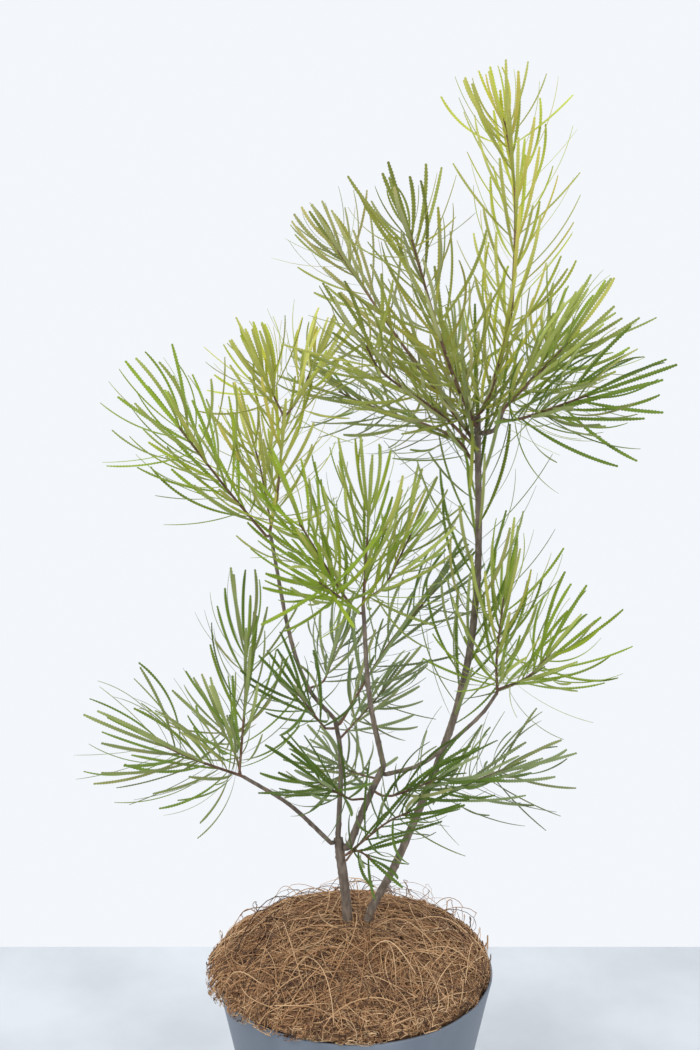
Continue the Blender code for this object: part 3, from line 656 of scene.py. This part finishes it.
def array_mesh(name, points, faces, face_slots=None, smooth=False):
    """A mesh object from arrays of points and of triangles or quads."""
    faces = np.asarray(faces, dtype=np.int32)
    mesh = bpy.data.meshes.new(name)
    mesh.vertices.add(len(points))
    mesh.vertices.foreach_set("co", np.asarray(points, dtype=np.float32).ravel())
    sides = faces.shape[1]
    mesh.loops.add(faces.size)
    mesh.loops.foreach_set("vertex_index", faces.ravel())
    mesh.polygons.add(len(faces))
    mesh.polygons.foreach_set("loop_start", np.arange(0, faces.size, sides, dtype=np.int32))
    mesh.polygons.foreach_set("use_smooth", np.full(len(faces), smooth))
    if face_slots is not None:
        mesh.polygons.foreach_set("material_index", np.asarray(face_slots, dtype=np.int32))
    mesh.update(calc_edges=True)
    made = bpy.data.objects.new(name, mesh)
    bpy.context.scene.collection.objects.link(made)
    return made


def join_arrays(name, pieces, smooth=False):
    """One mesh object from many pieces, each of them points, faces and the faces' slots."""
    points, faces, slots, base = [], [], [], 0
    for piece_points, piece_faces, piece_slots in pieces:
        points.append(piece_points)
        faces.append(piece_faces + base)
        slots += piece_slots
        base += len(piece_points)
    return array_mesh(name, np.concatenate(points), np.concatenate(faces), slots, smooth)


def run_directions(points):
    """The direction of a chain of points at each of them, at length one."""
    runs = np.gradient(points, axis=0)
    return runs / np.linalg.norm(runs, axis=1)[:, None]


def leaf_arrays(leaf):
    """Points and quads of one toothed leaf: both margins and the raised midrib, flat beneath."""
    teeth = max(FEWEST_TEETH, round(leaf.length / TOOTH_PITCH))
    shares = np.linspace(0.0, 1.0, 2 * teeth + 1)
    outline = np.interp(shares, *zip(*OUTLINE))
    notch = np.where(np.arange(len(shares)) % 2, 1.0, 1.0 - TOOTH_DEPTH)
    stalk_end, stalk_width = STALK
    notch[shares < stalk_end] = stalk_width
    widths = (HALF_WIDTH * outline * notch)[:, None]
    middle = midrib_points(leaf, shares)
    run = run_directions(middle)
    face = leaf.face - run * (run @ leaf.face)[:, None]
    face /= np.linalg.norm(face, axis=1)[:, None]
    across = np.cross(face, run)
    ridge = (MIDRIB * outline)[:, None] * face
    points = np.stack([middle - across * widths, middle + ridge, middle + across * widths], axis=1)
    quads = []
    for k in range(len(shares) - 1):
        here, there = 3 * k, 3 * k + 3
        quads += [(here, here + 1, there + 1, there), (here + 1, here + 2, there + 2, there + 1),
                  (here + 2, here, there, there + 2)]
    slots = [0, 0, 1] * (len(shares) - 1)
    return points.reshape(-1, 3), np.array(quads), slots


def tube_arrays(points, radii, sides, relief=None):
    """Points and quads of a tube along a chain of points, with a relief on its radius if given."""
    points = np.asarray(points)
    runs = run_directions(points)
    across = off_axis(np.array(TUBE_GUIDE), runs[0])
    angles = 2 * math.pi * np.arange(sides) / sides
    rings = []
    for k, (point, run, radius) in enumerate(zip(points, runs, radii)):
        across = off_axis(across, run)
        beside = np.cross(run, across)
        spokes = np.full(sides, radius)
        if relief is not None:
            spokes = spokes * (1 + relief[k])
        rings.append(point + spokes[:, None] * (np.cos(angles)[:, None] * across
                                                + np.sin(angles)[:, None] * beside))
    last = len(points) - 1
    quads = []
    for k in range(last):
        for j in range(sides):
            i = (j + 1) % sides
            quads.append((k * sides + j, k * sides + i, (k + 1) * sides + i, (k + 1) * sides + j))
    tip = len(points) * sides
    for j in range(sides):
        quads.append((last * sides + j, last * sides + (j + 1) % sides, tip, tip))
    all_points = np.concatenate(rings + [points[-1:] + runs[-1:] * radii[-1] * TIP_DOME])
    return all_points, np.array(quads), [0] * len(quads)


def build_wood(grown):
    """Bark with relief for the stems and boughs, and smooth young twigs."""
    rng = np.random.default_rng(BARK_SEED)
    bark, twigs = [], []
    wood_names = [limb.name for limb in STEMS + BOUGHS]
    for name, limb in grown.items():
        count = max(FEWEST_RINGS, round(limb.length / BARK_PITCH))
        places = np.linspace(0.0, limb.length, count)
        points = [limb.place(min(place, limb.length * LAST_RING))[0] for place in places]
        radii = np.array([limb.radius(place) for place in places])
        if name in wood_names:
            relief = rng.normal(0.0, BARK_RELIEF, (count, BARK_SIDES))
            scars = (rng.random((count, BARK_SIDES)) < SCAR_SHARE) * SCAR_HEIGHT
            bark.append(tube_arrays(points, radii, BARK_SIDES, relief + scars))
        else:
            twigs.append(tube_arrays(points, radii, TWIG_SIDES))
    made = join_arrays("bark", bark, smooth=True)
    made.data.materials.append(bark_material("grey_brown_bark", BARK_COLOURS))
    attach(made, "root")
    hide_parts(*wood_names)
    made = join_arrays("twigs", twigs, smooth=True)
    made.data.materials.append(bark_material("red_brown_twig", TWIG_COLOURS))
    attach(made, "root")


def build_leaves(grown, solids):
    """Every leaf of the rule that stays within the reach of the solids, joined by look."""
    low, high = (np.array(corner) for corner in solids)
    groups = {look: [] for look in LEAF_LOOKS}
    nodes = {look: set() for look in LEAF_LOOKS}
    for order, limb in enumerate(grown.values()):
        rng = random.Random(LEAF_SEED + order)
        look = NODE_LOOKS.get(limb.node, USUAL_LOOK)
        for number, station in enumerate(leaf_stations(limb.limb, limb.length)):
            leaf = set_leaf(limb, number, station, rng)
            tip = midrib_points(leaf, np.array([1.0]))[0]
            outside = np.any(tip < low - OVERREACH) or np.any(tip > high + OVERREACH)
            if outside or tip[2] < LEAF_FLOOR:
                continue
            groups[look].append(leaf_arrays(leaf))
            if limb.node in SPRAYS:
                nodes[look].add(limb.node)
    for look, leaves in groups.items():
        top, under = LEAF_LOOKS[look]
        made = join_arrays(look + "_leaves", leaves)
        made.data.materials.append(leaf_material(look + "_leaf_top", top, roughness=0.5))
        made.data.materials.append(leaf_material(look + "_leaf_under", under, roughness=0.7))
        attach(made, "root")
        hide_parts(*sorted(nodes[look]))


def heap_top(x, y):
    """Height of the mulch at a place, falling away past its edge."""
    share = math.hypot(x - MULCH_SHIFT, y) / MULCH_RADIUS
    dome = MULCH_LIP + (MULCH_CROWN - MULCH_LIP) * (1 - min(share, 1.0) ** 2)
    (wave_x, start_x), (wave_y, start_y) = LUMP_WAVES
    lump = LUMP_HEIGHT * math.sin(wave_x * x + start_x) * math.cos(wave_y * y + start_y)
    spill = max(0.0, share - SPILL_FROM) * SPILL_FALL
    return POT_HEIGHT + dome + lump - spill


def strand_arrays(rng):
    """One curved strand that lies over the heap, or now and then loops above it."""
    if rng.random() < RIM_SHARE:
        away = MULCH_RADIUS * (1 - abs(rng.normal(0.0, RIM_SPREAD)))
    else:
        away = MULCH_RADIUS * math.sqrt(rng.random())
    turn = 2 * math.pi * rng.random()
    x, y = MULCH_SHIFT + away * math.cos(turn), away * math.sin(turn)
    heading = 2 * math.pi * rng.random()
    curl = rng.normal(0.0, FIBRE_CURL)
    length = rng.uniform(*FIBRE_LENGTH)
    edge = rng.uniform(*FIBRE_EDGE)
    lift = rng.uniform(*FIBRE_LIFT) + (rng.random() < LOOP_SHARE) * rng.uniform(*LOOP_LIFT)
    radius = rng.uniform(*FIBRE_RADIUS) * MM
    wave_height, wave = FIBRE_WAVE
    rim, rim_turn = RIM_TURN
    spill_from, spill_more = LEFT_SPILL
    points = []
    for k in range(FIBRE_STEPS + 1):
        share = k / FIBRE_STEPS
        points.append((x, y, heap_top(x, y) + radius + lift * math.sin(math.pi * share)
                       + wave_height * math.sin(wave * share + curl)))
        inside = math.hypot(x - MULCH_SHIFT, y) / MULCH_RADIUS
        heading += curl * length / FIBRE_STEPS
        if inside > rim:
            heading += rim_turn * math.copysign(1, math.sin(turn - heading))
        x += math.cos(heading) * length / FIBRE_STEPS
        y += math.sin(heading) * length / FIBRE_STEPS
        reach = math.hypot(x - MULCH_SHIFT, y)
        most = MULCH_RADIUS * (edge + spill_more * max(0.0, -x / MULCH_RADIUS - spill_from))
        if reach > most:
            x = MULCH_SHIFT + (x - MULCH_SHIFT) * most / reach
            y *= most / reach
    return tube_arrays(points, radius * np.linspace(1.0, FIBRE_TIP, FIBRE_STEPS + 1), FIBRE_SIDES)


def build_fibres():
    """Loose coconut fibre in three colours."""
    rng = np.random.default_rng(FIBRE_SEED)
    for name, dark, pale, count in FIBRE_KINDS:
        made = join_arrays(name, [strand_arrays(rng) for _ in range(count)], smooth=True)
        made.data.materials.append(fibre_material(name + "_look", dark, pale))
        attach(made, "root")


def dress_heap_and_soil(frame):
    """The packed fibre under the loose strands and the soil keep their solids and take new looks."""
    looks = {
        "coir_mulch": crumb_material("matted_coir", MATTED_TONES, scale=160.0, detail=9.0, strength=1.0),
        "soil": crumb_material("potting_mix", SOIL_TONES, scale=220.0, detail=8.0, strength=0.8),
    }
    for name, look in looks.items():
        node = frame["nodes"][name]
        node.data.materials.clear()
        node.data.materials.append(look)


def pot_profile():
    """The pot's half section from the inner floor over the rim to the middle of the underside."""
    inner_rim = POT_RIM_RADIUS - POT_WALL
    lip = POT_WALL / 2
    profile = [(0.0, POT_FLOOR), (POT_BASE_RADIUS + POT_TAPER * POT_FLOOR - POT_WALL, POT_FLOOR)]
    for k in range(LIP_STEPS + 1):
        angle = math.pi * (1 - k / LIP_STEPS)
        profile.append((inner_rim + lip * (1 + math.cos(angle)), POT_HEIGHT - lip * (1 - math.sin(angle))))
    for k in range(1, WALL_STEPS):
        height = POT_HEIGHT * (1 - k / WALL_STEPS)
        profile.append((POT_BASE_RADIUS + POT_TAPER * height, height))
    profile += [(POT_BASE_RADIUS + POT_TAPER * FOOT_BEVEL, FOOT_BEVEL), (POT_BASE_RADIUS - FOOT_BEVEL, 0.0),
                (0.0, 0.0)]
    return profile


def build_pot():
    """The pot turned finely, with its rounded rim and flat foot."""
    shape = bmesh.new()
    verts = [shape.verts.new((radius, 0.0, height)) for radius, height in pot_profile()]
    edges = [shape.edges.new(pair) for pair in zip(verts, verts[1:])]
    bmesh.ops.spin(shape, geom=verts + edges, cent=(0, 0, 0), axis=(0, 0, 1), angle=2 * math.pi,
                   steps=POT_SIDES, use_merge=True)
    bmesh.ops.remove_doubles(shape, verts=shape.verts, dist=SAME_POINT)
    bmesh.ops.recalc_face_normals(shape, faces=shape.faces)
    for face in shape.faces:
        face.smooth = True
    mesh = bpy.data.meshes.new("nursery_pot")
    shape.to_mesh(mesh)
    shape.free()
    mesh.materials.append(pot_material())
    made = bpy.data.objects.new("nursery_pot", mesh)
    bpy.context.scene.collection.objects.link(made)
    edge = made.modifiers.new("sharp_foot", "EDGE_SPLIT")
    edge.split_angle = math.radians(SHARP_EDGE)
    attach(made, "root")
    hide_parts("pot")


def build_camera():
    """The photograph's camera."""
    camera_data = bpy.data.cameras.new("camera")
    camera_data.lens = CAMERA_LENS
    camera_data.sensor_width = CAMERA_SENSOR
    camera = bpy.data.objects.new("camera", camera_data)
    camera.location = CAMERA_PLACE
    camera.rotation_euler = (math.radians(90 - CAMERA_PITCH), 0.0, 0.0)
    bpy.context.scene.collection.objects.link(camera)
    bpy.context.scene.camera = camera


def build_studio():
    """Soft lights that face the plant, a pale surround and a pale floor."""
    for name, place, size, power in LIGHTS:
        light_data = bpy.data.lights.new(name, "AREA")
        light_data.size = size
        light_data.energy = power
        light = bpy.data.objects.new(name, light_data)
        light.location = place
        target = np.array(LIGHT_TARGET) - np.array(place)
        yaw = math.atan2(target[1], target[0])
        light.rotation_euler = (math.acos(-target[2] / np.linalg.norm(target)), 0.0, yaw - math.pi / 2)
        bpy.context.scene.collection.objects.link(light)

    world = bpy.data.worlds.new("pale_surround")
    world.use_nodes = True
    background = world.node_tree.nodes["Background"]
    background.inputs["Color"].default_value = (*SURROUND_COLOUR, 1.0)
    background.inputs["Strength"].default_value = 1.0
    bpy.context.scene.world = world

    corners = [(-FLOOR_HALF_WIDTH, FLOOR_FRONT, 0.0), (FLOOR_HALF_WIDTH, FLOOR_FRONT, 0.0),
               (FLOOR_HALF_WIDTH, FLOOR_BACK, 0.0), (-FLOOR_HALF_WIDTH, FLOOR_BACK, 0.0)]
    floor = array_mesh("floor", corners, [(0, 1, 2, 3)])
    made, tree, shader = node_material("pale_floor", roughness=0.8)
    paint(tree, shader, ramp(tree, noise(tree, scale=6.0, detail=6.0), FLOOR_TONES))
    floor.data.materials.append(made)


def main():
    """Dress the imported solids."""
    for old in list(bpy.data.objects):
        bpy.data.objects.remove(old)
    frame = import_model()
    cad_box = [list(corner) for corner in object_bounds()]
    bpy.context.scene.view_settings.view_transform = "Standard"
    build_camera()
    build_studio()
    grown = grow_all()
    build_pot()
    dress_heap_and_soil(frame)
    build_fibres()
    build_wood(grown)
    build_leaves(grown, cad_box)


main()
